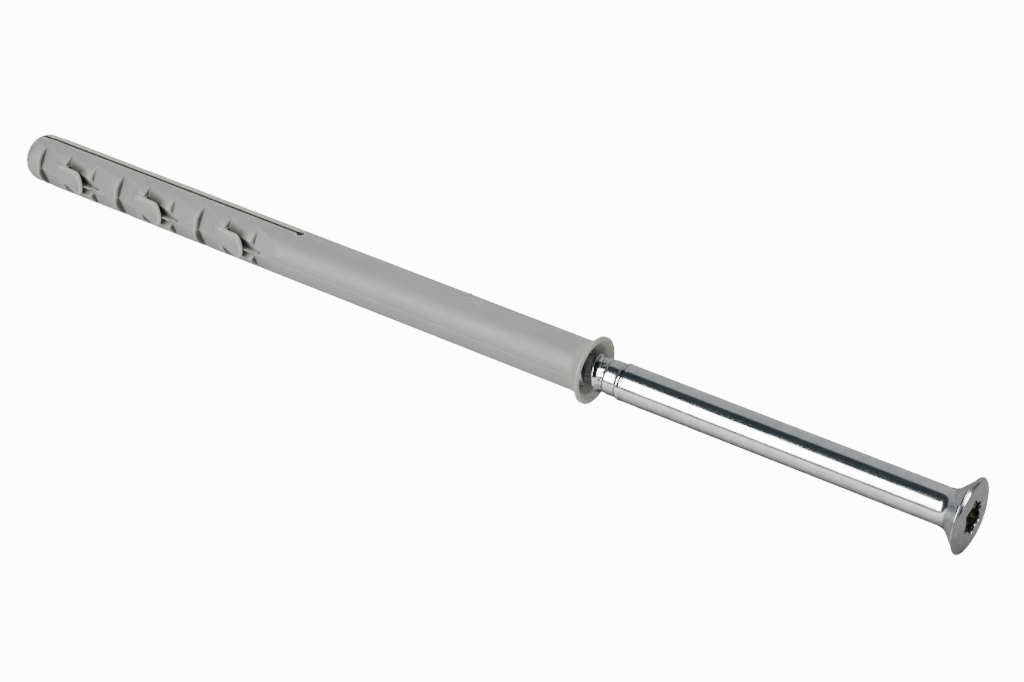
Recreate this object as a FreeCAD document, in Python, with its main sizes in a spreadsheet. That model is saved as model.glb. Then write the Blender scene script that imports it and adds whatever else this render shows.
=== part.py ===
import FreeCAD, Part
import math
import os
import re
import Sketcher

from FreeCAD import Placement, Rotation, Vector

# Frame fixing: a ribbed nylon plug with a countersunk screw started in it.
# The axis lies along X. The origin is the centre of the plug's collar rim, the plug reaches
# towards -X, the screw's head towards +X, and the plug's slot faces up and down.

document = FreeCAD.newDocument("frame_fixing")

# Driving dimensions in millimetres and degrees
SIZES = {
    # Screw
    "screw_length": 140.0,
    "head_radius": 7.0,
    "head_rim": 0.55,
    "head_cone_angle": 45.0,
    "head_fillet": 3.0,
    "head_edge_round": 0.25,
    "shank_radius": 3.5,
    "shank_end": 68.6,
    "ridge_height": 0.12,
    "ridge_width": 0.6,
    "shoulder_radius": 3.3,
    "shoulder_width": 2.4,
    "neck_radius": 3.15,
    "neck_width": 1.9,
    "thread_radius": 3.5,
    "thread_run_out": 0.6,
    "point_length": 5.0,
    "point_radius": 0.6,
    "tip_gap": 6.5,
    # Six-lobe drive recess
    "drive_radius": 3.33,
    "drive_depth": 3.1,
    "flute_radius": 1.2,
    "flute_inset": 0.83,
    # Plug
    "plug_length": 135.0,
    "barrel_radius": 4.9,
    "nose_radius": 4.8,
    "nose_taper": 0.7,
    "nose_round": 3.0,
    "nose_hole_radius": 1.5,
    "nose_wall": 3.0,
    "collar_radius": 6.42,
    "collar_lip": 0.5,
    "flare_length": 1.5,
    "flare_fillet": 2.0,
    "mouth_radius": 5.55,
    "guide_clearance": 0.1,
    "expansion_length": 63.5,
    "expansion_bore_radius": 2.75,
    "lead_in_length": 2.5,
    # Expansion slot
    "slot_width": 0.45,
    "slot_length": 67.8,
    "slot_hole_radius": 0.75,
    # Saw teeth of the expansion zone
    "nose_land": 5.2,
    "step_pitch": 6.8,
    "flat_distance": 3.7,
    "flat_rise": 0.16,
    "flat_tilt": 25.0,
    "step_slant": 0.45,
    "ramp_length": 5.7,
    # Spring tongues
    "tongue_count": 3,
    "steps_per_tongue": 3,
    "tongue_half_width": 2.5,
    "tongue_root": 3.0,
    "tongue_root_low": 0.9,
    "tongue_rise": 4.3,
    "tongue_split": 7.0,
    "tongue_split_radius": 4.75,
    "tongue_end": 11.75,
    "tongue_plan_end": 11.8,
    "tongue_nose_round": 0.5,
    "tongue_thickness": 0.6,
    "tongue_root_radius": 4.2,
    "tongue_flush_radius": 4.85,
    "tongue_end_radius": 5.75,
    # Scoops that free the tongues
    "scoop_start": 9.6,
    "scoop_end": 15.7,
    "scoop_axis_radius": 6.6,
    "scoop_depth_radius": 3.3,
    "scoop_end_radius": 2.25,
    "scoop_ledge": 0.1,
    # How far cutting outlines run past the surface
    "overshoot": 1.0,
}

sheet = document.addObject("Spreadsheet::Sheet", "Sizes")
for row, (name, value) in enumerate(SIZES.items(), start=1):
    sheet.set(f"A{row}", name)
    sheet.set(f"B{row}", str(value))
    sheet.setAlias(f"B{row}", name)
document.recompute()

TAN_HEAD_CONE = math.tan(math.radians(sheet.head_cone_angle))
FIRST_STEP = "nose_land - plug_length"
SIDE_NAMES = {-1: "near", 1: "far"}


def bind(item, **formulas):
    """Bind properties to formulas in the sheet's names."""
    for name, formula in formulas.items():
        item.setExpression(name, with_sheet(formula))


def with_sheet(formula):
    """The formula with the sheet's name before each of its sizes."""
    def named(word):
        return f"Sizes.{word[0]}" if word[0] in SIZES else word[0]
    return re.sub("[a-z_]+", named, formula)


def place(item, along="0", across="0", up="0"):
    """Bind an object's position along X, Y and Z."""
    item.setExpression(".Placement.Base.x", with_sheet(along))
    item.setExpression(".Placement.Base.y", with_sheet(across))
    item.setExpression(".Placement.Base.z", with_sheet(up))


def origin_part(body, role):
    """One of the body's own origin planes or axes."""
    for feature in body.Origin.OriginFeatures:
        if feature.Role == role:
            return feature
    raise ValueError(role)


def new_sketch(body, name, plane="XY_Plane"):
    """A sketch on one of the body's origin planes."""
    sketch = body.newObject("Sketcher::SketchObject", name)
    sketch.AttachmentSupport = [(origin_part(body, plane), "")]
    sketch.MapMode = "FlatFace"
    return sketch


def draw_outline(sketch, corners):
    """A closed outline of lines whose corners are bound to formulas, as (across, up) pairs."""
    count = len(corners)
    first = sketch.GeometryCount
    turn = Rotation(Vector(0, 0, 1), 360.0 / count)
    spot = Vector(10, 0, 0)
    for number in range(count):
        following = turn.multVec(spot)
        sketch.addGeometry(Part.LineSegment(spot, following))
        spot = following
    for number in range(count):
        line = first + number
        sketch.addConstraint(Sketcher.Constraint("Coincident", line, 2, first + (number + 1) % count, 1))
    for number, corner in enumerate(corners):
        line = first + number
        start = sketch.Geometry[line].StartPoint
        for kind, axis, now, formula in (("DistanceX", -2, start.x, corner[0]),
                                         ("DistanceY", -1, start.y, corner[1])):
            if formula == "0":
                sketch.addConstraint(Sketcher.Constraint("PointOnObject", line, 1, axis))
                continue
            held = sketch.addConstraint(Sketcher.Constraint(kind, -1, 1, line, 1, now))
            sketch.renameConstraint(held, f"{kind}{line}")
            sketch.setExpression(f"Constraints.{kind}{line}", with_sheet(formula))
    document.recompute()


def turned(body, name, sketch):
    """The sketch turned all round the X axis."""
    feature = body.newObject("PartDesign::Revolution", name)
    feature.Profile = sketch
    feature.ReferenceAxis = (sketch, ["H_Axis"])
    feature.Angle = 360.0
    document.recompute()
    return feature


def ring_edges(shape, along, radius):
    """Names of the circular edges round X at a place and a radius."""
    names = []
    for number, edge in enumerate(shape.Edges, start=1):
        if not isinstance(edge.Curve, Part.Circle):
            continue
        centre = edge.Curve.Center
        if abs(centre.x - along) < 1e-4 and abs(edge.Curve.Radius - radius) < 1e-4:
            names.append(f"Edge{number}")
    return names


def rounded(body, name, base, rings, radius):
    """The base feature with some of its ring edges rounded."""
    edges = []
    for along, ring in rings:
        edges += ring_edges(base.Shape, along, ring)
    feature = body.newObject("PartDesign::Fillet", name)
    feature.Base = (base, edges)
    bind(feature, Radius=radius)
    document.recompute()
    return feature


# Screw: head top at the body's own origin, point towards -X

def make_screw_blank():
    """Head, shank, neck, threaded length over its crests, and point, turned in one without the drive."""
    body = document.addObject("PartDesign::Body", "screw_blank")
    head_cone = "( head_radius - shank_radius ) / tan(head_cone_angle)"
    neck_start = "- shank_end - ridge_width - shoulder_width"
    thread_start = f"{neck_start} - neck_width"
    sketch = new_sketch(body, "screw_half_section")
    draw_outline(sketch, [
        ("0", "0"),
        ("0", "head_radius"),
        ("- head_rim", "head_radius"),
        (f"- head_rim - {head_cone}", "shank_radius"),
        ("- shank_end", "shank_radius"),
        ("- shank_end", "shank_radius + ridge_height"),
        ("- shank_end - ridge_width", "shank_radius + ridge_height"),
        ("- shank_end - ridge_width", "shoulder_radius"),
        (neck_start, "shoulder_radius"),
        (neck_start, "neck_radius"),
        (thread_start, "neck_radius"),
        (f"{thread_start} - thread_run_out", "thread_radius"),
        ("- screw_length + point_length", "thread_radius"),
        ("- screw_length", "point_radius"),
        ("- screw_length", "0"),
    ])
    blank = turned(body, "screw_turned", sketch)
    rim = sheet.head_rim
    cone_run = (sheet.head_radius - sheet.shank_radius) / TAN_HEAD_CONE
    fillet = rounded(body, "under_head", blank, [(-rim - cone_run, sheet.shank_radius)], "head_fillet")
    edges = [(0.0, sheet.head_radius), (-rim, sheet.head_radius)]
    rounded(body, "head_edges", fillet, edges, "head_edge_round")
    return body


def make_drive():
    """Six-lobe recess: a round hole less six flutes."""
    hole = document.addObject("Part::Cylinder", "drive_hole")
    hole.Placement.Rotation = Rotation(Vector(0, 1, 0), -90)
    bind(hole, Radius="drive_radius", Height="drive_depth")
    flutes = []
    for number in range(6):
        flute = document.addObject("Part::Cylinder", f"flute_{number + 1}")
        flute.Placement.Rotation = Rotation(Vector(0, 1, 0), -90)
        bind(flute, Radius="flute_radius", Height="drive_depth")
        reach = "( drive_radius - flute_inset + flute_radius )"
        angle = 60.0 * number + 30.0
        place(flute, across=f"{reach} * cos({angle})", up=f"{reach} * sin({angle})")
        flutes.append(flute)
    ribs = document.addObject("Part::MultiFuse", "flutes")
    ribs.Shapes = flutes
    recess = document.addObject("Part::Cut", "drive_recess")
    recess.Base = hole
    recess.Tool = ribs
    return recess


def make_screw():
    """The whole screw, drawn out of the plug as it is supplied."""
    screw = document.addObject("Part::Cut", "screw")
    screw.Base = make_screw_blank()
    screw.Tool = make_drive()
    place(screw, along="screw_length - plug_length + expansion_length + tip_gap")
    return screw


# Plug: collar rim at the body's own origin, nose towards -X

def make_sleeve():
    """Barrel, collar, mouth and bore turned in one, then slotted and toothed."""
    body = document.addObject("PartDesign::Body", "sleeve")
    guide_radius = "max(shank_radius; thread_radius) + guide_clearance"
    seat_depth = f"(mouth_radius - ({guide_radius})) / tan(head_cone_angle)"
    sketch = new_sketch(body, "sleeve_half_section")
    draw_outline(sketch, [
        ("0", "mouth_radius"),
        ("0", "collar_radius"),
        ("- collar_lip", "collar_radius"),
        ("- collar_lip - flare_length", "barrel_radius"),
        (FIRST_STEP, "barrel_radius"),
        (f"{FIRST_STEP} - nose_taper", "nose_radius"),
        ("- plug_length", "nose_radius"),
        ("- plug_length", "nose_hole_radius"),
        ("- plug_length + nose_wall", "nose_hole_radius"),
        ("- plug_length + nose_wall + expansion_bore_radius - nose_hole_radius", "expansion_bore_radius"),
        ("- plug_length + expansion_length - lead_in_length", "expansion_bore_radius"),
        ("- plug_length + expansion_length", guide_radius),
        (f"- {seat_depth}", guide_radius),
    ])
    turned_sleeve = turned(body, "sleeve_turned", sketch)
    flare_foot = -sheet.collar_lip - sheet.flare_length
    flared = rounded(body, "collar_flare", turned_sleeve, [(flare_foot, sheet.barrel_radius)],
                     "flare_fillet")
    rounded(body, "nose", flared, [(-sheet.plug_length, sheet.nose_radius)], "nose_round")
    cut_slot(body)
    cut_teeth(body)
    return body


def cut_slot(body):
    """Slot through both walls from the nose to a round hole."""
    sketch = new_sketch(body, "slot_outline")
    draw_outline(sketch, [
        ("- plug_length - overshoot", "slot_width / 2"),
        ("- plug_length - overshoot", "- slot_width / 2"),
        ("- plug_length + slot_length", "- slot_width / 2"),
        ("- plug_length + slot_length", "slot_width / 2"),
    ])
    slot = body.newObject("PartDesign::Pocket", "slot")
    slot.Profile = sketch
    slot.Midplane = True
    bind(slot, Length="4 * barrel_radius")
    hole_place = sheet.slot_length - sheet.plug_length
    round_end = new_sketch(body, "slot_hole_outline")
    round_end.addGeometry(Part.Circle(Vector(hole_place, 0, 0), Vector(0, 0, 1), sheet.slot_hole_radius))
    round_end.addConstraint(Sketcher.Constraint("PointOnObject", 0, 3, -1))
    round_end.addConstraint(Sketcher.Constraint("DistanceX", -1, 1, 0, 3, hole_place))
    round_end.addConstraint(Sketcher.Constraint("Radius", 0, sheet.slot_hole_radius))
    round_end.setExpression("Constraints[1]", with_sheet("- plug_length + slot_length"))
    round_end.setExpression("Constraints[2]", with_sheet("slot_hole_radius"))
    hole = body.newObject("PartDesign::Pocket", "slot_hole")
    hole.Profile = round_end
    hole.Midplane = True
    bind(hole, Length="4 * barrel_radius")
    document.recompute()


def cut_teeth(body):
    """Rows of sloping flats, each dropping at a step that faces the collar, shallower along each group."""
    for order in range(int(sheet.steps_per_tongue)):
        tooth = cut_tooth(body, order)
        rows = body.newObject("PartDesign::MultiTransform", f"teeth_{order + 1}")
        rows.Originals = [tooth]
        along = body.newObject("PartDesign::LinearPattern", f"teeth_along_{order + 1}")
        along.Direction = (origin_part(body, "X_Axis"), [""])
        along.Mode = "Spacing"
        bind(along, Offset="steps_per_tongue * step_pitch", Occurrences="tongue_count")
        mirrors = []
        for plane in ("XY_Plane", "XZ_Plane"):
            mirror = body.newObject("PartDesign::Mirrored", f"teeth_across_{plane[:2]}_{order + 1}")
            mirror.MirrorPlane = (origin_part(body, plane), [""])
            mirrors.append(mirror)
        rows.Transformations = [along] + mirrors
        body.Tip = rows
        document.recompute()


def cut_tooth(body, order):
    """One flat of the first group, by its order in the group."""
    step = f"{FIRST_STEP} + {order} * step_pitch"
    sketch = new_sketch(body, f"tooth_outline_{order + 1}")
    sketch.AttachmentOffset = Placement(Vector(0, 0, 0), Rotation(Vector(1, 0, 0), 180))
    sketch.setExpression("AttachmentOffset.Rotation.Angle", with_sheet("180 + flat_tilt"))
    clear_of_barrel = "barrel_radius + overshoot"
    draw_outline(sketch, [
        (step, f"flat_distance + {order} * flat_rise"),
        (f"{step} + ramp_length", "barrel_radius"),
        (f"{step} + ramp_length", clear_of_barrel),
        (f"{step} - step_slant", clear_of_barrel),
        (f"{step} - step_slant", "barrel_radius"),
    ])
    tooth = body.newObject("PartDesign::Pocket", f"tooth_{order + 1}")
    tooth.Profile = sketch
    tooth.Midplane = True
    bind(tooth, Length="3 * barrel_radius")
    document.recompute()
    return tooth


def tongue_start(number):
    """Place of the first step of a tongue's group of steps."""
    return f"{FIRST_STEP} + {number} * steps_per_tongue * step_pitch"


def make_tongue(number, side):
    """One spring tongue at a side of the plug: a turned shell cut to a rounded, slanting plan."""
    tag = f"{number + 1}_{SIDE_NAMES[side]}"
    start = tongue_start(number)
    inner_end = "tongue_end_radius - tongue_thickness"
    body = document.addObject("PartDesign::Body", f"tongue_shell_{tag}")
    sketch = new_sketch(body, f"tongue_section_{tag}")
    draw_outline(sketch, [
        (f"{start} + tongue_root", "tongue_root_radius - tongue_thickness"),
        (f"{start} + tongue_root", "tongue_root_radius"),
        (f"{start} + tongue_rise", "tongue_flush_radius"),
        (f"{start} + tongue_end", "tongue_end_radius"),
        (f"{start} + tongue_end", inner_end),
        (f"{start} + tongue_split", "tongue_split_radius"),
        (f"{start} + tongue_split", "tongue_root_radius - tongue_thickness"),
    ])
    shell = turned(body, f"tongue_turned_{tag}", sketch)
    first_step = sheet.nose_land - sheet.plug_length
    end = first_step + number * sheet.steps_per_tongue * sheet.step_pitch + sheet.tongue_end
    rounded(body, f"tongue_nose_{tag}", shell, [(end, sheet.tongue_end_radius)], "tongue_nose_round")

    strip = document.addObject("Part::Wedge", f"tongue_strip_{tag}")
    strip.Placement.Rotation = Rotation(Vector(0, 0, 1), -90)
    inward, outward = ("0", "tongue_end_radius") if side < 0 else ("- tongue_end_radius", "0")
    bind(strip, Xmin=inward, Xmax=outward, X2min=inward, X2max=outward,
         Ymin="0", Ymax="tongue_plan_end - tongue_half_width - tongue_root",
         Zmin="tongue_root_low", Zmax="tongue_half_width",
         Z2min="- tongue_half_width", Z2max="tongue_half_width")
    place(strip, f"{start} + tongue_root")
    across = "0" if side > 0 else "- tongue_end_radius"
    tip = document.addObject("Part::Cylinder", f"tongue_tip_{tag}")
    tip.Placement.Rotation = Rotation(Vector(1, 0, 0), -90)
    bind(tip, Radius="tongue_half_width", Height="tongue_end_radius")
    place(tip, f"{start} + tongue_plan_end - tongue_half_width", across)
    plan = document.addObject("Part::Fuse", f"tongue_plan_{tag}")
    plan.Base = strip
    plan.Tool = tip
    tongue = document.addObject("Part::Common", f"tongue_{tag}")
    tongue.Base = body
    tongue.Tool = plan
    return tongue


def make_scoops(number, side):
    """Two half cones beside the meridian, which undercut a tongue's free end."""
    scoops = []
    start = tongue_start(number)
    for half in (1, -1):
        name = f"scoop_{number + 1}_{SIDE_NAMES[side]}_{'upper' if half > 0 else 'lower'}"
        scoop = document.addObject("Part::Cone", name)
        scoop.Angle = 180.0
        scoop.Placement.Rotation = Rotation(Vector(0, half, 0), Vector(0, 0, half), Vector(1, 0, 0), "ZXY")
        bind(scoop, Radius1="scoop_depth_radius", Radius2="scoop_end_radius",
             Height="scoop_end - scoop_start")
        place(scoop, f"{start} + scoop_start", f"{side} * scoop_axis_radius", f"{half} * scoop_ledge")
        scoops.append(scoop)
    return scoops


def make_plug():
    """Sleeve less its scoops, with its tongues."""
    tongues = []
    scoops = []
    for number in range(int(sheet.tongue_count)):
        for side in SIDE_NAMES:
            tongues.append(make_tongue(number, side))
            scoops += make_scoops(number, side)
    hollows = document.addObject("Part::MultiFuse", "scoops")
    hollows.Shapes = scoops
    scooped = document.addObject("Part::Cut", "scooped_sleeve")
    scooped.Base = make_sleeve()
    scooped.Tool = hollows
    plug = document.addObject("Part::MultiFuse", "plug")
    plug.Shapes = [scooped] + tongues
    return plug


def require_sound(nodes):
    """Stop when any object failed, or when a sub-part isn't one whole solid."""
    for item in document.Objects:
        if "Invalid" in item.State or "Error" in item.State:
            raise RuntimeError(f"{item.Name}: {item.State}")
    for node in nodes:
        if node.Shape.isNull() or not node.Shape.isValid() or len(node.Shape.Solids) != 1:
            raise RuntimeError(f"{node.Name}: {len(node.Shape.Solids)} solids")


nodes = [make_plug(), make_screw()]
document.recompute()
require_sound(nodes)
os.makedirs("parts", exist_ok=True)
for node in nodes:
    node.Label = node.Name
    node.Shape.exportStep(f"parts/{node.Label}.step")
    box = node.Shape.BoundBox
    print(node.Label, round(node.Shape.Volume, 1), [round(value, 3) for value in
          (box.XMin, box.XMax, box.YMin, box.YMax, box.ZMin, box.ZMax)])
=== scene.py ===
import math

import bpy
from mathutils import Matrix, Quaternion, Vector


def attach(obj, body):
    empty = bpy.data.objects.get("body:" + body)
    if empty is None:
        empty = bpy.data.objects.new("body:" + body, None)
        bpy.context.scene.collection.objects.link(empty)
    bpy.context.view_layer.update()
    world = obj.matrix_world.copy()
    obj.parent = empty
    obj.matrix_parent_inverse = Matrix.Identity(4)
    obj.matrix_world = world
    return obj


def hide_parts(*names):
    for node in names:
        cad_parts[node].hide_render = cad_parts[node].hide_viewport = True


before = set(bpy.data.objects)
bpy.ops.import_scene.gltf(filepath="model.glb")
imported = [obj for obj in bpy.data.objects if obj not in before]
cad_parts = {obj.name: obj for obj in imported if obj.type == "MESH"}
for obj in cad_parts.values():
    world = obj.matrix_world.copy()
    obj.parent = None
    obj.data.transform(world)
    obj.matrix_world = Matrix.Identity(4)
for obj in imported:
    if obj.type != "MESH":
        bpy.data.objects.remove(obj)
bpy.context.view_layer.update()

MM = 0.001


# Meshes

def mesh_piece(name, vertices, faces, material, body):
    """A smooth mesh from points in millimetres that rides a body."""
    mesh = bpy.data.meshes.new(name)
    mesh.from_pydata([(x * MM, y * MM, z * MM) for x, y, z in vertices], [], faces)
    mesh.polygons.foreach_set("use_smooth", [True] * len(mesh.polygons))
    mesh.validate()
    mesh.materials.append(material)
    piece = bpy.data.objects.new(name, mesh)
    bpy.context.scene.collection.objects.link(piece)
    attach(piece, body)
    return piece


def turned_grid(rings, around):
    """Points and faces of a closed surface whose rings are (place, radius at an angle) pairs."""
    vertices = []
    for place, radius in rings:
        for step in range(around):
            angle = 2 * math.pi * step / around
            reach = radius(angle) if callable(radius) else radius
            vertices.append((place, reach * math.cos(angle), reach * math.sin(angle)))
    faces = []
    for ring in range(len(rings) - 1):
        for step in range(around):
            following = (step + 1) % around
            faces.append((ring * around + step, (ring + 1) * around + step,
                          (ring + 1) * around + following, ring * around + following))
    for ring, order in ((0, 1), (len(rings) - 1, -1)):
        centre = len(vertices)
        vertices.append((rings[ring][0], 0.0, 0.0))
        for step in range(around):
            following = (step + 1) % around
            corners = (centre, ring * around + step, ring * around + following)
            faces.append(corners[::order])
    return vertices, faces


# Nodes

class Graph:
    """The nodes of a material or a world, added by short calls that return sockets."""

    def __init__(self, tree):
        self.nodes = tree.nodes
        self.links = tree.links

    def feed(self, value, socket):
        """Link a value to a socket, or set it there when it is a plain colour or number."""
        if isinstance(value, bpy.types.NodeSocket):
            self.links.new(value, socket)
        elif isinstance(value, tuple):
            socket.default_value = (*value, 1.0)
        else:
            socket.default_value = value

    def math(self, operation, first, second=None):
        """An operation on one or two values."""
        node = self.nodes.new("ShaderNodeMath")
        node.operation = operation
        self.feed(first, node.inputs[0])
        if second is not None:
            self.feed(second, node.inputs[1])
        return node.outputs[0]

    def product(self, *shares):
        """Shares multiplied together."""
        result = shares[0]
        for share in shares[1:]:
            result = self.math("MULTIPLY", result, share)
        return result

    def magnitude(self, value):
        """A value without its sign."""
        return self.math("ABSOLUTE", value)

    def spread(self, value, low, high, start=0.0, end=1.0, clamp=True):
        """A value carried from one range to another."""
        remap = self.nodes.new("ShaderNodeMapRange")
        remap.clamp = clamp
        for name, limit in (("From Min", low), ("From Max", high), ("To Min", start), ("To Max", end)):
            remap.inputs[name].default_value = limit
        self.links.new(value, remap.inputs["Value"])
        return remap.outputs["Result"]

    def rise(self, length, low, high):
        """A share that goes from 0 to 1 between two lengths in millimetres."""
        return self.spread(length, low * MM, high * MM)

    def opposite(self, share):
        """What is left of a share."""
        return self.spread(share, 0.0, 1.0, 1.0, 0.0)

    def wrapped(self, length, start, pitch):
        """Place along a repeating length, in millimetres."""
        scaled = self.spread(length, start * MM, (start + pitch) * MM, 0.0, pitch, clamp=False)
        return self.math("FLOORED_MODULO", scaled, pitch)

    def mixed(self, share, first, second, kind="MIX"):
        """A colour between two colours, each of them linked or plain."""
        mix = self.nodes.new("ShaderNodeMix")
        mix.data_type = "RGBA"
        mix.blend_type = kind
        self.feed(share, mix.inputs["Factor"])
        self.feed(first, mix.inputs[6])
        self.feed(second, mix.inputs[7])
        return mix.outputs[2]

    def levels(self, share, stops):
        """Colour along a share, from (place, level, blue) stops."""
        ramp = self.nodes.new("ShaderNodeValToRGB")
        self.links.new(share, ramp.inputs["Fac"])
        elements = ramp.color_ramp.elements
        elements.remove(elements[1])
        for number, (position, level, blue) in enumerate(stops):
            element = elements[0] if number == 0 else elements.new(position)
            element.position = position
            element.color = (level, level * (1 + blue) / 2, level * blue, 1.0)
        return ramp.outputs["Color"]

    def noise(self, place, scale, detail=3.0, roughness=0.5):
        """A noise texture over a place."""
        texture = self.nodes.new("ShaderNodeTexNoise")
        texture.inputs["Scale"].default_value = scale
        texture.inputs["Detail"].default_value = detail
        texture.inputs["Roughness"].default_value = roughness
        self.links.new(place, texture.inputs["Vector"])
        return texture.outputs["Fac"]

    def bumped(self, height, strength, distance, normal=None):
        """A normal raised by a height, with the distance in millimetres."""
        bump = self.nodes.new("ShaderNodeBump")
        bump.inputs["Strength"].default_value = strength
        bump.inputs["Distance"].default_value = distance * MM
        self.links.new(height, bump.inputs["Height"])
        if normal is not None:
            self.links.new(normal, bump.inputs["Normal"])
        return bump.outputs["Normal"]

    def occlusion(self, reach, inside=False):
        """How open the surface is within a reach in millimetres, from outside or inside."""
        open_share = self.nodes.new("ShaderNodeAmbientOcclusion")
        open_share.inside = inside
        open_share.only_local = True
        open_share.samples = 8
        open_share.inputs["Distance"].default_value = reach * MM
        return open_share.outputs["AO"]

    def object_place(self, stretch=(1.0, 1.0, 1.0)):
        """Object coordinates, stretched along the axes."""
        coordinates = self.nodes.new("ShaderNodeTexCoord")
        mapping = self.nodes.new("ShaderNodeMapping")
        mapping.inputs["Scale"].default_value = stretch
        self.links.new(coordinates.outputs["Object"], mapping.inputs["Vector"])
        return mapping.outputs["Vector"]

    def split(self, kind):
        """X, Y and Z of a place or a normal."""
        coordinates = self.nodes.new("ShaderNodeTexCoord")
        parts = self.nodes.new("ShaderNodeSeparateXYZ")
        self.links.new(coordinates.outputs[kind], parts.inputs["Vector"])
        return parts.outputs["X"], parts.outputs["Y"], parts.outputs["Z"]

    def vector_length(self, vector):
        """Length of a vector."""
        length = self.nodes.new("ShaderNodeVectorMath")
        length.operation = "LENGTH"
        self.links.new(vector, length.inputs[0])
        return length.outputs["Value"]

    def from_axis(self):
        """Distance from the fixing's axis."""
        return self.vector_length(self.object_place((0.0, 1.0, 1.0)))

    def hypotenuse(self, first, second):
        """Length of the sloping side over two values."""
        corner = self.nodes.new("ShaderNodeCombineXYZ")
        self.links.new(first, corner.inputs["X"])
        self.links.new(second, corner.inputs["Y"])
        return self.vector_length(corner.outputs["Vector"])


def new_material(name):
    """A new node material, its graph and its shader."""
    material = bpy.data.materials.new(name)
    material.use_nodes = True
    return material, Graph(material.node_tree), material.node_tree.nodes["Principled BSDF"]


# Nylon: the plain colour runs between two tints, with painted highlights, glow, shade and shadows laid over
# it as paler or darker marks

NYLON_TINTS = ((0.355, 0.358, 0.352), (0.395, 0.397, 0.388))
# Painted light and shade: paler colours for highlights and glow, darker ones for shade and shadows
PAINTED_FAR_LEG_LIGHT = (0.56, 0.545, 0.49)
PAINTED_RIM_HIGHLIGHT = (0.54, 0.528, 0.48)
PAINTED_STEP_SHADE = (0.085, 0.085, 0.08)
PAINTED_CRESCENT_HIGHLIGHT = (0.52, 0.508, 0.46)
PAINTED_EDGE_GLOW = (0.62, 0.605, 0.55)
PAINTED_TONGUE_RIM_LIGHT = (0.60, 0.588, 0.53)
PAINTED_TONGUE_SHADOW = (0.075, 0.073, 0.068)
PAINTED_SLIVER_SHADOW = (0.03, 0.03, 0.027)
PAINTED_LIP_LIGHT = (0.60, 0.59, 0.54)
PAINTED_FLARE_LIGHT = (0.50, 0.495, 0.455)
PAINTED_HOLLOW_SHADE = (0.07, 0.068, 0.062)
PAINTED_NARROW_SHADE = (0.012, 0.012, 0.012)
PAINTED_SLOT_SHADOW = (0.03, 0.03, 0.028)

# The repeating teeth, in millimetres along the axis
FIRST_STEP = -129.8
STEP_PITCH = 6.8
STEPS_IN_GROUP = 3
TIP_CENTRE = 9.3
TIP_REACH = 3.0


class PlugPlace:
    """Where a point of the plug lies and faces, and its spot in the repeating teeth."""

    def __init__(self, graph):
        self.along, self.across, self.up = graph.split("Object")
        self.facing, self.sideways, _ = graph.split("Normal")
        self.height = graph.spread(self.up, -0.005, 0.005, -5.0, 5.0)
        self.radius = graph.from_axis()
        self.legs = graph.rise(self.along, -66.8, -67.5)
        self.toothed = graph.rise(self.along, -70.0, -74.0)
        self.proud = graph.rise(self.radius, 4.91, 4.97)
        self.flush = graph.opposite(self.proud)
        self.in_pitch = graph.wrapped(self.along, FIRST_STEP, STEP_PITCH)
        self.in_group = graph.wrapped(self.along, FIRST_STEP, STEP_PITCH * STEPS_IN_GROUP)


def tooth_light_and_shade(graph, spot):
    """Painted highlights on the rims before the steps, painted shade on the steep faces and painted
    highlights in crescents at their tops.
    """
    # Painted highlight: a pale band on the rim just before each step.
    rim_highlight = graph.product(spot.toothed, spot.flush, graph.spread(spot.in_pitch, 5.8, 6.5),
                                graph.rise(spot.radius, 4.6, 4.75),
                                graph.rise(graph.magnitude(spot.up), 3.7, 2.8))
    # Painted shade: the steep faces darkened.
    steep = graph.product(graph.spread(spot.facing, 0.35, 0.8), spot.toothed, spot.flush)
    # Painted highlight: the outer part of the upper steep faces made paler.
    crescent = graph.product(steep, graph.rise(spot.up, -0.4, 0.4), graph.rise(spot.radius, 4.2, 4.7))
    return [(rim_highlight, PAINTED_RIM_HIGHLIGHT), (steep, PAINTED_STEP_SHADE), (crescent, PAINTED_CRESCENT_HIGHLIGHT)]


def thin_edge_glow(graph, spot):
    """Painted glow on edges where the nylon is thin, but not all over the tongues."""
    tongue = graph.product(spot.proud, graph.spread(graph.magnitude(spot.sideways), 0.7, 0.9))
    # Painted light: paler where occlusion traced inside finds the nylon thin.
    thin = graph.product(graph.spread(graph.occlusion(0.6, inside=True), 0.97, 0.6),
                         graph.spread(tongue, 0.0, 1.0, 1.0, 0.1))
    return [(thin, PAINTED_EDGE_GLOW)]


def tongue_light_and_shadow(graph, spot):
    """Painted light on rims round the tongues' tips, and painted shadows in the gaps over and under them.
    """
    past_tip_centre = graph.spread(spot.in_group, TIP_CENTRE, TIP_CENTRE + TIP_REACH, 0.0, TIP_REACH)
    # Painted light: a pale rim round each tongue's tip.
    rim = graph.product(spot.proud, spot.toothed,
                        graph.spread(graph.hypotenuse(past_tip_centre, spot.height), 1.7, 2.2),
                        graph.rise(spot.up, -2.2, -1.2))
    # Painted shadow: the barrel just over each tongue darkened.
    above = graph.product(spot.flush, spot.toothed, graph.spread(spot.in_group, 6.9, 7.4),
                          graph.spread(spot.in_group, 12.5, 10.5), graph.rise(spot.up, 1.8, 2.2),
                          graph.rise(spot.up, 3.8, 2.7))
    # Painted shadow: a dark sliver along a slanting line under each tongue.
    slant = graph.spread(spot.in_group, 6.3, 9.3, -0.9, -2.2)
    off_slant = graph.magnitude(graph.math("SUBTRACT", spot.height, slant))
    below = graph.product(spot.toothed, graph.spread(spot.in_group, 6.2, 7.2),
                          graph.spread(spot.in_group, 9.8, 9.0), graph.spread(off_slant, 0.42, 0.22))
    return [(rim, PAINTED_TONGUE_RIM_LIGHT), (above, PAINTED_TONGUE_SHADOW), (below, PAINTED_SLIVER_SHADOW)]


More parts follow.
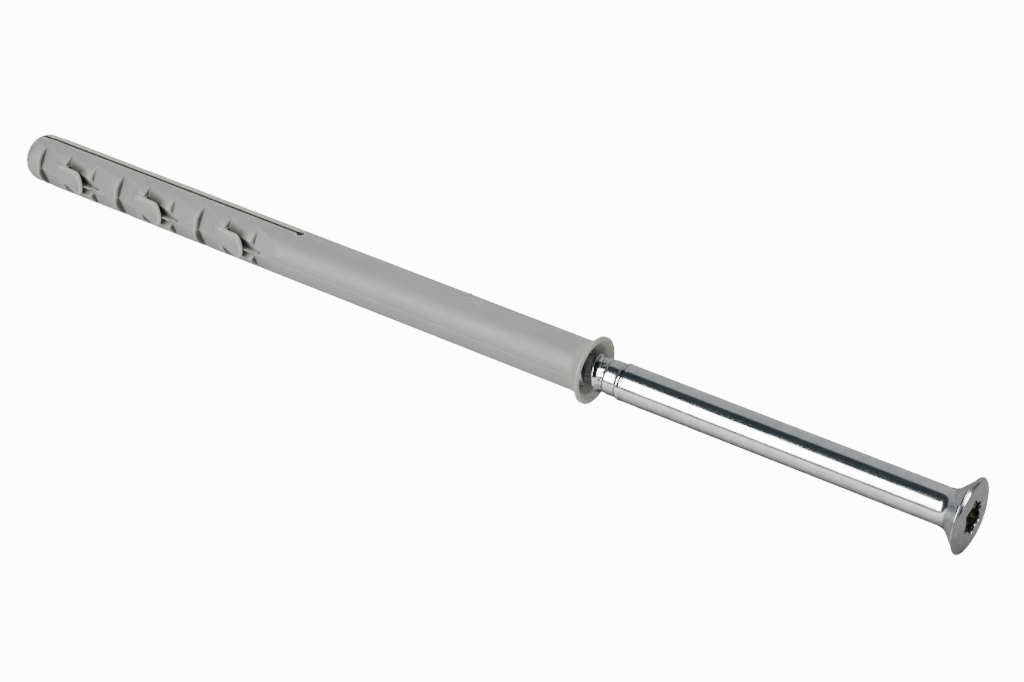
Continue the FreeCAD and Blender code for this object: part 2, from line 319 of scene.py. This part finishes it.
def collar_light(graph, spot):
    """Painted light on the collar's lip and flare."""
    lip = graph.product(graph.rise(spot.along, -0.9, -0.5), graph.spread(spot.facing, -0.4, 0.5))
    flare = graph.product(graph.rise(spot.along, -5.0, -1.2), graph.spread(spot.facing, 0.1, -0.1))
    return [(lip, PAINTED_LIP_LIGHT), (flare, PAINTED_FLARE_LIGHT)]


def make_nylon():
    """Grey moulded nylon: fine matt grain, faint flow marks, and painted light: glow on thin edges, shade
    on the steps and shadows in the gaps.
    """
    material, graph, shader = new_material("moulded_nylon")
    spot = PlugPlace(graph)
    flow = graph.noise(graph.object_place((0.25, 1.0, 1.0)), 260.0)
    tint = graph.mixed(graph.spread(flow, 0.3, 0.7), *NYLON_TINTS)
    # Painted light: the upper part of the far leg is made paler, standing in for light showing through the
    # nylon.
    far_leg_light = graph.product(spot.legs, graph.rise(spot.across, 0.2, 0.6), graph.rise(spot.up, 3.0, 4.2))
    # marks holds painted light and shade, each a share of the surface and the colour painted there.
    marks = [(far_leg_light, PAINTED_FAR_LEG_LIGHT)]
    marks += tooth_light_and_shade(graph, spot) + thin_edge_glow(graph, spot)
    marks += tongue_light_and_shadow(graph, spot) + collar_light(graph, spot)
    # Painted shade: darker where the surface is closed in within 2.4 mm.
    marks += [(graph.spread(graph.occlusion(2.4), 0.78, 0.3), PAINTED_HOLLOW_SHADE)]
    # Painted shade: nearly black in narrow gaps such as the slot.
    marks += [(graph.spread(graph.occlusion(0.7), 0.45, 0.2), PAINTED_NARROW_SHADE)]
    # Painted shadow: the slot's edges on the legs darkened, so the slot reads wider.
    marks += [(graph.product(spot.legs, graph.rise(graph.magnitude(spot.across), 0.40, 0.28)), PAINTED_SLOT_SHADOW)]
    for share, colour in marks:
        tint = graph.mixed(share, tint, colour)
    graph.feed(tint, shader.inputs["Base Color"])
    place = graph.object_place()
    gloss = graph.noise(place, 900.0, 2.0)
    graph.feed(graph.spread(gloss, 0.3, 0.7, 0.46, 0.58), shader.inputs["Roughness"])
    bevel = graph.nodes.new("ShaderNodeBevel")
    bevel.inputs["Radius"].default_value = 0.3 * MM
    bevel.samples = 6
    grain = graph.noise(place, 5200.0, 2.0)
    graph.feed(graph.bumped(grain, 0.25, 0.012, bevel.outputs["Normal"]), shader.inputs["Normal"])
    shader.inputs["Subsurface Weight"].default_value = 0.08
    shader.inputs["Subsurface Radius"].default_value = (0.5, 0.5, 0.45)
    shader.inputs["Subsurface Scale"].default_value = 0.6 * MM
    shader.inputs["IOR"].default_value = 1.5
    shader.inputs["Specular IOR Level"].default_value = 0.45
    return material


def make_bead_nylon():
    """The same nylon, made paler as painted highlight where it stands up in thin raised marks."""
    material, graph, shader = new_material("raised_nylon_highlight")
    bead_mottle = graph.noise(graph.object_place(), 1400.0)
    # Painted highlight: both tints are paler copies of the nylon, mottled by noise.
    tint = graph.mixed(graph.spread(bead_mottle, 0.3, 0.7), (0.50, 0.50, 0.48), (0.66, 0.655, 0.62))
    graph.feed(tint, shader.inputs["Base Color"])
    graph.feed(graph.spread(bead_mottle, 0.3, 0.7, 0.42, 0.55), shader.inputs["Roughness"])
    return material


# Zinc

ZINC_TINTS = ((0.50, 0.535, 0.53), (0.63, 0.63, 0.63))
ZINC_SPECKS = (0.40, 0.40, 0.39)
ZINC_RECESS_SHADE = (0.35, 0.348, 0.305)


def make_zinc():
    """Bright zinc plating: cloudy passivation, fine drawn lines, a duller cone and painted shade in the
    recess.
    """
    material, graph, shader = new_material("bright_zinc")
    shader.inputs["Metallic"].default_value = 1.0
    along, _, _ = graph.split("Object")
    radius = graph.from_axis()
    place = graph.object_place()
    cloud = graph.noise(place, 420.0, 4.0)
    tint = graph.mixed(graph.spread(cloud, 0.35, 0.65), *ZINC_TINTS)
    specks = graph.spread(graph.noise(place, 1900.0, 3.0, 0.7), 0.40, 0.30)
    tint = graph.mixed(specks, tint, ZINC_SPECKS)
    # Painted shade: a darker, olive-tinted colour inside the recess.
    recess = graph.product(graph.rise(along, 74.6, 73.8), graph.rise(along, 71.2, 71.4),
                           graph.rise(radius, 3.45, 3.4))
    graph.feed(graph.mixed(recess, tint, ZINC_RECESS_SHADE), shader.inputs["Base Color"])
    lines = graph.noise(graph.object_place((0.06, 1.0, 1.0)), 2600.0, 2.0)
    cone = graph.product(graph.rise(radius, 3.7, 4.6), graph.rise(along, 74.2, 73.8))
    roughness = graph.math("ADD", graph.spread(lines, 0.3, 0.7, 0.10, 0.17),
                           graph.spread(cone, 0.0, 1.0, 0.0, 0.2))
    graph.feed(roughness, shader.inputs["Roughness"])
    graph.feed(graph.bumped(lines, 0.01, 0.01), shader.inputs["Normal"])
    return material


nylon = make_nylon()
bead_nylon = make_bead_nylon()
zinc = make_zinc()

# Screw, in millimetres, with its depths counted from the head's top

HEAD_TOP = 75.0
SCREW_AROUND = 144
SCREW_LENGTH = 140.0
HEAD_RADIUS = 7.0
HEAD_EDGE = 0.55
FLAT_RADIUS = 5.2
ROUNDING = 1.6
RIM_DEPTH = 0.68
RIM_ROUNDING = 0.15
CONE_START = 0.8
FILLET_RADIUS = 3.0
SHANK_RADIUS = 3.5
SHANK_END = 68.6
LOBE_COUNT = 6
DRIVE_MEAN = 2.9
DRIVE_SWING = 0.36
DRIVE_DEPTH = 3.1
NECK_RADIUS = 3.14
NECK_START = SHANK_END + 3.25
NECK_DENTS = 0.06
THREAD_PITCH = 3.6
THREAD_CORE = 2.55
THREAD_CREST = 3.48
FIRST_CREST = SHANK_END + 5.4
CORE_FALL = 2.5
RUN_IN = 1.3
CREST_HALF_WIDTH = 0.09
FLANK_WIDTH = 0.62
FLANK_CURVE = 1.25
THREAD_TURN = 0.44
POINT_LENGTH = 5.0
POINT_RADIUS = 0.45
TURN_STEP = 0.15

# Rounded mouth of the recess, as (depth, how far past its wall)
DRIVE_MOUTH = ((0.26, 0.02), (0.13, 0.07), (0.05, 0.14), (0.01, 0.23))

# Crease between the head's rounding and its rim, as (depth, radius)
RIM_CREASE = ((0.57, 6.52), (0.585, 6.62), (0.57, 6.72))

# Groove, ridge, shoulder and neck, as (distance past the shank's end, radius)
NECK_SECTION = (
    (-1.3, 3.5), (-1.05, 3.5), (-0.85, 3.492), (-0.65, 3.47), (-0.48, 3.437), (-0.36, 3.442),
    (-0.22, 3.495), (-0.08, 3.545), (0.06, 3.563), (0.2, 3.55), (0.35, 3.49), (0.48, 3.40),
    (0.6, 3.33), (0.8, 3.3), (1.9, 3.3), (2.7, 3.3), (2.92, 3.28), (3.08, 3.22), (3.2, 3.17),
)


def share_of(value):
    """A value held between 0 and 1."""
    return min(1.0, max(0.0, value))


def drive_outline(inset=0.0):
    """Radius of the six-lobe recess at an angle."""
    def radius(angle):
        return DRIVE_MEAN - inset - DRIVE_SWING * math.cos(LOBE_COUNT * angle)
    return radius


def between(first, second, share):
    """Radius partly between two outlines."""
    def radius(angle):
        one = first(angle) if callable(first) else first
        other = second(angle) if callable(second) else second
        return one + (other - one) * share
    return radius


def arc(centre, radius, start, end, steps):
    """Points of an arc as (depth, radius) pairs, by angles in degrees from the outward direction."""
    points = []
    for step in range(steps + 1):
        angle = math.radians(start + (end - start) * step / steps)
        points.append((centre[0] + radius * math.sin(angle), centre[1] + radius * math.cos(angle)))
    return points


def thread_radius(depth):
    """Radius of the neck and the threaded length at a depth, by angle."""
    tip = share_of((SCREW_LENGTH - depth) / POINT_LENGTH)
    fall = share_of((depth - FIRST_CREST) / CORE_FALL)
    core = (NECK_RADIUS + (THREAD_CORE - NECK_RADIUS) * fall) * tip + POINT_RADIUS * (1 - tip)
    start = share_of((depth - FIRST_CREST + RUN_IN) / 0.5)
    height = (THREAD_CREST - core) * start * min(1.0, tip * 1.15) * tip
    dents = NECK_DENTS * share_of((FIRST_CREST - depth + 0.3) / 0.4)

    def radius(angle):
        phase = (THREAD_TURN - depth / THREAD_PITCH - angle / (2 * math.pi)) % 1.0
        away = abs(phase - 0.5) * THREAD_PITCH
        rise = share_of(1 - (away - CREST_HALF_WIDTH) / FLANK_WIDTH)
        dent = dents * math.sin(9 * angle + 5 * depth) * math.sin(4 * angle - 7 * depth)
        return core + dent + height * rise ** FLANK_CURVE
    return radius


def recess_rings():
    """Rings from the bottom of the recess to the flat of the head."""
    wall = drive_outline()
    rings = [(DRIVE_DEPTH + 0.35, 0.05), (DRIVE_DEPTH + 0.02, between(0.0, drive_outline(0.12), 0.93)),
             (DRIVE_DEPTH - 0.1, drive_outline(0.03))]
    rings += [(depth, wall) for depth in (2.2, 1.2, 0.5)]
    rings += [(depth, drive_outline(-reach)) for depth, reach in DRIVE_MOUTH]
    edge = drive_outline(-0.3)
    rings += [(0.0, between(edge, FLAT_RADIUS, share)) for share in (0.02, 0.25, 0.5, 0.75, 0.97)]
    return rings


def head_rings():
    """Rings over the head's rounding, crease, rim, cone and fillet."""
    rings = arc((ROUNDING, FLAT_RADIUS), ROUNDING, -90, -42, 12)
    rings += RIM_CREASE
    rings += arc((RIM_DEPTH, HEAD_RADIUS - RIM_ROUNDING), RIM_ROUNDING, -70, 45, 6)
    foot = HEAD_EDGE + HEAD_RADIUS - SHANK_RADIUS
    tangent = FILLET_RADIUS * math.tan(math.radians(22.5))
    cone_end = foot - tangent * math.cos(math.radians(45))
    for share in (0.2, 0.45, 0.7):
        depth = CONE_START + (cone_end - CONE_START) * share
        rings.append((depth, HEAD_RADIUS - (depth - HEAD_EDGE)))
    centre = (foot + tangent, SHANK_RADIUS + FILLET_RADIUS)
    return rings + arc(centre, -FILLET_RADIUS, 45, 0, 10)


def screw_rings():
    """Rings of the screw from the bottom of its recess over the head to the point."""
    rings = recess_rings() + head_rings()
    rings += [(depth, SHANK_RADIUS) for depth in (6.0, 12.0, 20.0, 30.0, 40.0, 50.0, 60.0, 66.0)]
    rings += [(SHANK_END + past, radius) for past, radius in NECK_SECTION]
    depth = NECK_START
    while depth < SCREW_LENGTH - 0.1:
        rings.append((depth, thread_radius(depth)))
        depth += TURN_STEP
    rings += [(SCREW_LENGTH - 0.05, 0.4), (SCREW_LENGTH, 0.2)]
    return [(HEAD_TOP - depth, radius) for depth, radius in rings]


screw_vertices, screw_faces = turned_grid(screw_rings(), SCREW_AROUND)
screw = mesh_piece("zinc_screw", screw_vertices, screw_faces, zinc, "screw")
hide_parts("screw")

# Plug: its own material, and its raised marks, in millimetres from the collar's rim

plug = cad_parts["plug"]
plug.data.materials[0] = nylon

BARREL_RADIUS = 4.9
RING_PLACE = -29.5
DASH_PLACE = -62.3
DASH_ANGLES = (78.0, 104.0)
BEAD_START = -72.0
BEAD_STEP = 3.0
BEAD_POINTS = 24
NUMBER_PLACE = -25.5
NUMBER_ANGLE = 84.0
DIGIT_HEIGHT = 1.6
DIGIT_WIDTH = 1.4
DIGIT_GAP = 0.45

OVAL_TURNS = [math.radians(turn) for turn in range(0, 361, 24)]

# Strokes of the digits, as (across, up) points in shares of their width and of half their height
DIGITS = {
    "5": (((0.42, 1.0), (-0.32, 1.0), (-0.38, 0.18), (-0.05, 0.32), (0.28, 0.2), (0.45, -0.2), (0.4, -0.65),
           (0.1, -0.97), (-0.25, -0.95), (-0.45, -0.7)),),
    "0": ([(0.44 * math.cos(turn), math.sin(turn)) for turn in OVAL_TURNS],),
}


def on_barrel(place, angle, radius=BARREL_RADIUS):
    """Point of the barrel at an angle above its front, in degrees."""
    angle = math.radians(angle)
    return Vector((place, -radius * math.cos(angle), radius * math.sin(angle)))


def bead_mesh(path, reach, vertices, faces, around=8):
    """Add a round bead along a path of points."""
    first = len(vertices)
    for number, point in enumerate(path):
        before, after = path[max(0, number - 1)], path[min(len(path) - 1, number + 1)]
        forward = (after - before).normalized()
        outward = Vector((0.0, point.y, point.z)).normalized()
        aside = forward.cross(outward).normalized()
        for step in range(around):
            turn = 2 * math.pi * step / around
            vertices.append(point + (outward * math.cos(turn) + aside * math.sin(turn)) * reach)
    for ring in range(len(path) - 1):
        for step in range(around):
            following = (step + 1) % around
            start = first + ring * around
            ahead = start + around
            faces.append((start + step, start + following, ahead + following, ahead + step))
    faces.append(tuple(range(first, first + around))[::-1])
    last = first + (len(path) - 1) * around
    faces.append(tuple(range(last, last + around)))


def plug_marks(name, paths, reach):
    """Raised marks along paths on the barrel."""
    vertices, faces = [], []
    for path in paths:
        bead_mesh(path, reach, vertices, faces)
    return mesh_piece(name, vertices, faces, bead_nylon, "plug")


def ring_path(place, start, end, steps):
    """Points round the barrel between two angles."""
    return [on_barrel(place, start + (end - start) * step / steps) for step in range(steps + 1)]


def bead_path(angle):
    """Points along the barrel at an angle."""
    return [on_barrel(BEAD_START + BEAD_STEP * step, angle) for step in range(BEAD_POINTS)]


def digit_paths(text):
    """Strokes of a number on the top of the barrel, with its foot to the back."""
    paths = []
    for number, letter in enumerate(text):
        centre = NUMBER_PLACE - number * (DIGIT_WIDTH + DIGIT_GAP)
        for stroke in DIGITS[letter]:
            path = []
            for x, y in stroke:
                angle = NUMBER_ANGLE - math.degrees(y * DIGIT_HEIGHT / 2 / BARREL_RADIUS)
                path.append(on_barrel(centre - x * DIGIT_WIDTH, angle, BARREL_RADIUS + 0.02))
            paths.append(path)
    return paths


plug_marks("depth_ring", [ring_path(RING_PLACE, 0.0, 180.0, 60)], 0.1)
plug_marks("depth_dash", [ring_path(DASH_PLACE, *DASH_ANGLES, 12)], 0.1)
plug_marks("parting_beads", [bead_path(0.0), bead_path(180.0)], 0.06)
plug_marks("depth_number", digit_paths("50"), 0.09)

# Studio

CAMERA_LENS = 94.92
CAMERA_AZIMUTH = 32.87
CAMERA_ELEVATION = 31.08
CAMERA_ROLL = 2.83
CAMERA_AIM = (-18.0, -0.268, -0.40)
CAMERA_DISTANCE = 493.2
FLOOR_SIZE = 6.0
FLOOR_HEIGHT = -7.0
FLOOR_GLOW = 12.0
BOUNCE_GLOW = 1.25
PAST_HEAD_SHADE = (0.42, 0.42, 0.415)

# Band of the floor across the fixing, in metres of Y, and its colour and glow as (place, level, blue): a
# painted pool of light in front of the fixing, darker colour under and behind it and farther out
FLOOR_BAND = (0.02, -0.08)
FLOOR_SHADE_LEVELS = ((0.0, 0.3, 0.96), (0.225, 0.3, 0.96), (0.28, 0.68, 1.0), (0.5, 0.68, 1.0), (0.7, 0.15, 1.0))
FLOOR_BOUNCE = ((0.0, 0.0, 1.0), (0.22, 0.0, 1.0), (0.38, 1.0, 1.0), (0.5, 1.0, 1.0), (0.7, 0.0, 1.0))

# Brightness of the room, as (place, level, blue), by the turn about the fixing's axis
ROOM_BY_LIFT = ((0.0, 0.7, 1.03), (0.497, 0.7, 1.03), (0.503, 0.055, 1.45), (0.772, 0.055, 1.45),
                (0.795, 0.62, 1.04), (1.0, 0.7, 1.03))

# Brightness of the room, as (place, level, blue), by the lean along the axis
ROOM_BY_LEAN = ((0.0, 0.7, 1.0), (0.2, 0.9, 1.0), (0.4, 1.0, 1.0), (0.5, 0.6, 1.0), (0.65, 0.25, 1.0),
                (1.0, 0.2, 1.0))


def floor_plane(name, height, glow):
    """A wide matt plane under the fixing, with its graph and its shader."""
    bpy.ops.mesh.primitive_plane_add(size=FLOOR_SIZE, location=(0.0, 0.0, height * MM))
    floor = bpy.context.object
    floor.name = name
    material, graph, shader = new_material(name)
    shader.inputs["Base Color"].default_value = (0.9, 0.9, 0.9, 1.0)
    shader.inputs["Roughness"].default_value = 0.9
    shader.inputs["Specular IOR Level"].default_value = 0.0
    shader.inputs["Emission Color"].default_value = (1.0, 1.0, 1.0, 1.0)
    shader.inputs["Emission Strength"].default_value = glow
    floor.data.materials.append(material)
    return floor, graph, shader


def make_floor():
    """A lit white floor that is seen, over one that throws soft light back up, with a painted pool of light
    in front of the fixing, painted shade under and behind it, and no glow past the head.
    """
    seen, _, _ = floor_plane("floor", FLOOR_HEIGHT, FLOOR_GLOW)
    seen.visible_diffuse = False
    seen.visible_glossy = False
    seen.visible_shadow = False
    bounce, graph, shader = floor_plane("floor_bounce", FLOOR_HEIGHT - 0.2, BOUNCE_GLOW)
    bounce.visible_camera = False
    along, across, _ = graph.split("Object")
    share = graph.spread(across, *FLOOR_BAND)
    past_head = graph.rise(along, 64.0, 74.0)
    # Painted light and shade: the glow makes a pool of light in front of the fixing, and the colour is
    # darker under, behind and past the head.
    colour = graph.mixed(past_head, graph.levels(share, FLOOR_SHADE_LEVELS), PAST_HEAD_SHADE)
    glow = graph.mixed(past_head, graph.levels(share, FLOOR_BOUNCE), (0.0, 0.0, 0.0))
    graph.feed(colour, shader.inputs["Base Color"])
    graph.feed(glow, shader.inputs["Emission Color"])


def around_axis(lift, lean):
    """Direction lifted from the front about the fixing's axis and leaning along it, in degrees."""
    lift, lean = math.radians(lift), math.radians(lean)
    return Vector((math.sin(lean), -math.cos(lean) * math.cos(lift), math.cos(lean) * math.sin(lift)))


def area_light(name, direction, distance, width, height, level):
    """A rectangular area light of a given brightness that faces the fixing."""
    data = bpy.data.lights.new(name, "AREA")
    data.shape = "RECTANGLE"
    data.size = width
    data.size_y = height
    data.energy = level * math.pi * width * height
    light = bpy.data.objects.new(name, data)
    bpy.context.scene.collection.objects.link(light)
    towards = direction.normalized()
    light.location = towards * distance
    light.rotation_euler = (-towards).to_track_quat("-Z", "Y").to_euler()
    return light


def softbox(name, direction, width, height, level):
    """A bright light that shows only in shiny surfaces."""
    area_light(name, direction, 0.8, width, height, level).visible_diffuse = False


def fill(name, direction, width, height, level):
    """A soft light that doesn't show in shiny surfaces."""
    area_light(name, direction, 1.0, width, height, level).visible_glossy = False


def make_lights():
    """Two softboxes for the bright bands on the zinc, and four soft fills."""
    softbox("front_softbox", around_axis(25.5, -24.0), 0.36, 0.64, 24.0)
    softbox("rim_softbox", Vector((0.9, 0.28, 0.25)), 0.27, 0.25, 18.0)
    fill("front_fill", around_axis(20.0, -15.0), 1.0, 1.0, 0.6)
    fill("end_fill", around_axis(28.0, 55.0), 1.0, 1.0, 1.7)
    fill("overhead_fill", around_axis(80.0, -15.0), 1.2, 1.2, 1.8)
    fill("back_fill", around_axis(135.0, -15.0), 1.0, 0.8, 1.3)


def make_world():
    """A pale room with a dark ceiling strip over the fixing, darker towards the screw's end."""
    world = bpy.data.worlds.new("studio")
    bpy.context.scene.world = world
    world.use_nodes = True
    graph = Graph(world.node_tree)
    lean, across, up = graph.split("Generated")
    lift = graph.math("ARCTAN2", up, graph.math("MULTIPLY", across, -1.0))
    about = graph.levels(graph.spread(lift, -math.pi, math.pi), ROOM_BY_LIFT)
    along = graph.levels(graph.spread(lean, -1.0, 1.0), ROOM_BY_LEAN)
    background = graph.nodes["Background"]
    graph.feed(graph.mixed(1.0, about, along, "MULTIPLY"), background.inputs["Color"])
    background.inputs["Strength"].default_value = 1.0


def make_camera():
    """The photograph's viewpoint."""
    data = bpy.data.cameras.new("camera")
    data.lens = CAMERA_LENS
    data.sensor_width = 36.0
    data.clip_start = 0.01
    camera = bpy.data.objects.new("camera", data)
    bpy.context.scene.collection.objects.link(camera)
    azimuth, elevation = math.radians(CAMERA_AZIMUTH), math.radians(CAMERA_ELEVATION)
    back = Vector((math.sin(azimuth) * math.cos(elevation), -math.cos(azimuth) * math.cos(elevation),
                   math.sin(elevation)))
    camera.location = Vector(CAMERA_AIM) * MM + back * CAMERA_DISTANCE * MM
    roll = Quaternion((0.0, 0.0, 1.0), math.radians(CAMERA_ROLL))
    camera.rotation_euler = ((-back).to_track_quat("-Z", "Y") @ roll).to_euler()
    bpy.context.scene.camera = camera


make_floor()
make_world()
make_lights()
make_camera()
